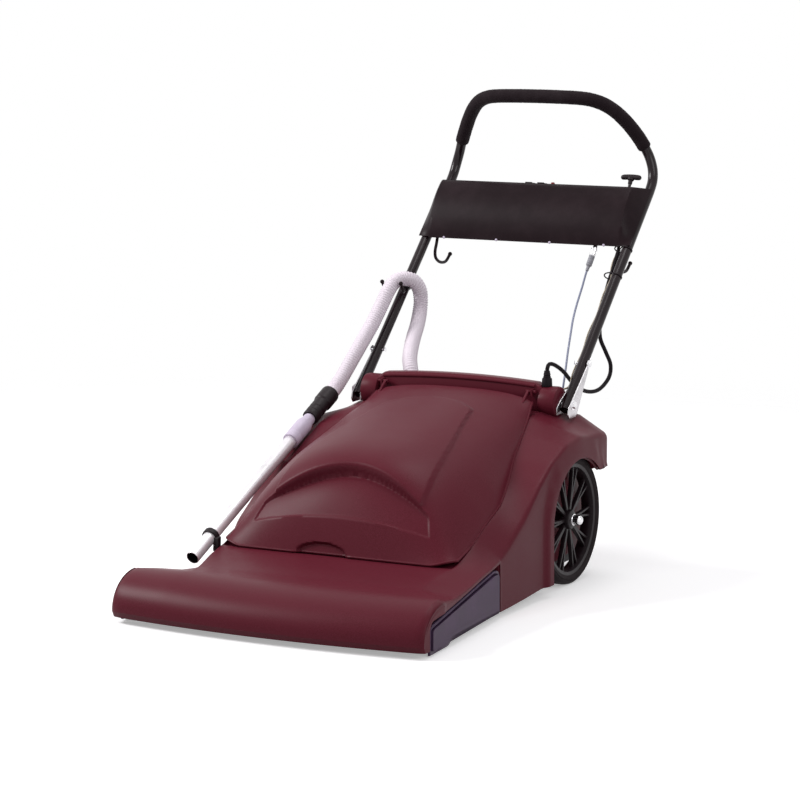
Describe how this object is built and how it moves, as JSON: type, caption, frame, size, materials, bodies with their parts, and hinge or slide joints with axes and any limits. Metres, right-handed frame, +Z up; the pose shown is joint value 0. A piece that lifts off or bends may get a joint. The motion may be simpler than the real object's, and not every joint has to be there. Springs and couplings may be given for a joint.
{
  "type": "wide-area upright carpet vacuum",
  "caption": "Walk-behind wide-area carpet vacuum: wheeled tapered body with hinged lid, floating brush deck, leaning tube handle with control console, stowed suction hose and wand.",
  "frame": {"origin": "centre of the machine's box, on the floor", "axes": "+Z up, +Y from the nose back towards the operator, +X to the side that carries the brush drive"},
  "size_m": [0.8, 1.5286, 1.1482],
  "materials": {
    "housing_plastic": "moulded burgundy plastic with a soft mottled sheen",
    "black_paint": "satin black paint with a warm tint",
    "black_plastic": "black moulded plastic",
    "plum_paint": "dark plum paint, satin",
    "zinc_steel": "zinc plated sheet and bar",
    "bright_steel": "bright plated fasteners and fittings",
    "tyre_rubber": "black tyre rubber",
    "soft_rubber": "black rubber",
    "foam": "closed-cell foam sleeve",
    "wheel_plastic": "black moulded wheel",
    "wand_metal": "bright tube with a soft brushed sheen",
    "grey_plastic": "grey moulded collar",
    "hose_plastic": "pale ribbed hose",
    "paper_bag": "filter paper bag",
    "filter_foam": "motor filter pad",
    "card": "stiff collar of the bag",
    "motor_paint": "dark motor casing",
    "fan_alloy": "fan of thin alloy",
    "core_plastic": "brush core",
    "bristle": "nylon bristles",
    "lever_red": "red reset button",
    "cable_sleeve": "grey-blue cable sleeve"
  },
  "bodies": {
    "machine": {"upper_housing": "housing_plastic", "rear_bulkhead": "housing_plastic", "base_frame": "black_paint", "motor_deck": "zinc_steel", "bag_tub": "black_plastic", "dust_bag": "paper_bag", "bag_collar": "card", "motor_filter": "filter_foam", "suction_motors": "motor_paint", "suction_duct": "black_plastic", "rear_axle": "zinc_steel", "front_roller_brackets": "zinc_steel", "lid_gasket": "soft_rubber", "lid_hinge_pins": "zinc_steel", "deck_pivot_pins": "zinc_steel", "handle_tube_left": "black_paint", "handle_tube_right": "black_paint", "handle_bow": "black_paint", "foam_grip": "foam", "handle_gussets": "zinc_steel", "handle_bolts": "bright_steel", "console_shell": "black_plastic", "console_back": "black_paint", "mains_gland": "black_plastic", "cable_fitting": "bright_steel", "control_cable": "cable_sleeve", "cord_hooks": "black_paint", "hose_hook": "black_paint", "interconnect_cord": "soft_rubber", "cord_boot": "soft_rubber", "wand": "wand_metal", "wand_collar": "grey_plastic", "wand_clip": "soft_rubber", "hose_cuff": "black_plastic", "suction_hose": "hose_plastic", "hose_port": "black_plastic"},
    "lid": {"lid": "housing_plastic"},
    "deck": {"deck_pan": "black_paint", "side_plates": "plum_paint", "brush_bearings": "black_plastic", "brush_motor": "motor_paint", "drive_belt": "soft_rubber"},
    "brush": {"brush_core": "core_plastic", "brush_bristles": "bristle", "brush_pulley": "black_plastic"},
    "motor_drive": {"motor_pulley": "zinc_steel"},
    "wheel_left": {"wheel_left_tyre": "tyre_rubber", "wheel_left_rim": "wheel_plastic", "wheel_left_cap": "bright_steel"},
    "wheel_right": {"wheel_right_tyre": "tyre_rubber", "wheel_right_rim": "wheel_plastic", "wheel_right_cap": "bright_steel"},
    "roller_left": {"front_roller_left": "soft_rubber"},
    "roller_right": {"front_roller_right": "soft_rubber"},
    "fan_left": {"suction_fan_left": "fan_alloy"},
    "fan_right": {"suction_fan_right": "fan_alloy"},
    "pull_knob": {"t_handle": "black_plastic"},
    "switch_vacuum": {"vacuum_switch": "black_plastic"},
    "switch_brush": {"brush_switch": "black_plastic"},
    "breaker": {"breaker_button": "lever_red"}
  },
  "joints": [
    {"name": "lid_hinge", "type": "hinge", "parent": "machine", "child": "lid", "pos_m": [0, 0.20265, 0.446], "axis": [-1, 0, 0], "range_deg": [0, 68]},
    {"name": "deck_lift", "type": "hinge", "parent": "machine", "child": "deck", "pos_m": [0, -0.29435, 0.095], "axis": [-1, 0, 0], "range_deg": [0, 0.9]},
    {"name": "t_handle_pull", "type": "slide", "parent": "machine", "child": "pull_knob", "axis": [0, 0.454, 0.891], "range_m": [0, 0.0375]},
    {"name": "brush_spin", "type": "hinge", "parent": "deck", "child": "brush", "pos_m": [0, -0.60435, 0.044], "axis": [1, 0, 0], "continuous": true},
    {"name": "motor_spin", "type": "hinge", "parent": "deck", "child": "motor_drive", "pos_m": [0.35, -0.36235, 0.088], "axis": [1, 0, 0], "continuous": true},
    {"name": "wheel_left_spin", "type": "hinge", "parent": "machine", "child": "wheel_left", "pos_m": [-0.332, 0.12765, 0.157], "axis": [1, 0, 0], "continuous": true},
    {"name": "wheel_right_spin", "type": "hinge", "parent": "machine", "child": "wheel_right", "pos_m": [0.332, 0.12765, 0.157], "axis": [1, 0, 0], "continuous": true},
    {"name": "roller_left_spin", "type": "hinge", "parent": "machine", "child": "roller_left", "pos_m": [-0.19, -0.25235, 0.024], "axis": [1, 0, 0], "continuous": true},
    {"name": "roller_right_spin", "type": "hinge", "parent": "machine", "child": "roller_right", "pos_m": [0.19, -0.25235, 0.024], "axis": [1, 0, 0], "continuous": true},
    {"name": "fan_left_spin", "type": "hinge", "parent": "machine", "child": "fan_left", "pos_m": [-0.115, 0.12765, 0.207], "axis": [0, 0, 1], "continuous": true},
    {"name": "fan_right_spin", "type": "hinge", "parent": "machine", "child": "fan_right", "pos_m": [0.115, 0.12765, 0.207], "axis": [0, 0, 1], "continuous": true},
    {"name": "vacuum_switch_rock", "type": "hinge", "parent": "machine", "child": "switch_vacuum", "pos_m": [-0.03, 0.67765, 0.901], "axis": [1, 0, 0], "range_deg": [0, 20]},
    {"name": "brush_switch_rock", "type": "hinge", "parent": "machine", "child": "switch_brush", "pos_m": [0.004, 0.67765, 0.901], "axis": [1, 0, 0], "range_deg": [0, 20]},
    {"name": "breaker_push", "type": "slide", "parent": "machine", "child": "breaker", "axis": [0, 0, -1], "range_m": [0, 0.003], "stiffness_N_per_m": 200, "springref_m": -0.001}
  ],
  "couplings": [
    {"joint": "t_handle_pull", "follows": "deck_lift", "m_per_rad": 2.38},
    {"joint": "motor_spin", "follows": "brush_spin", "ratio": 1.8571}
  ]
}
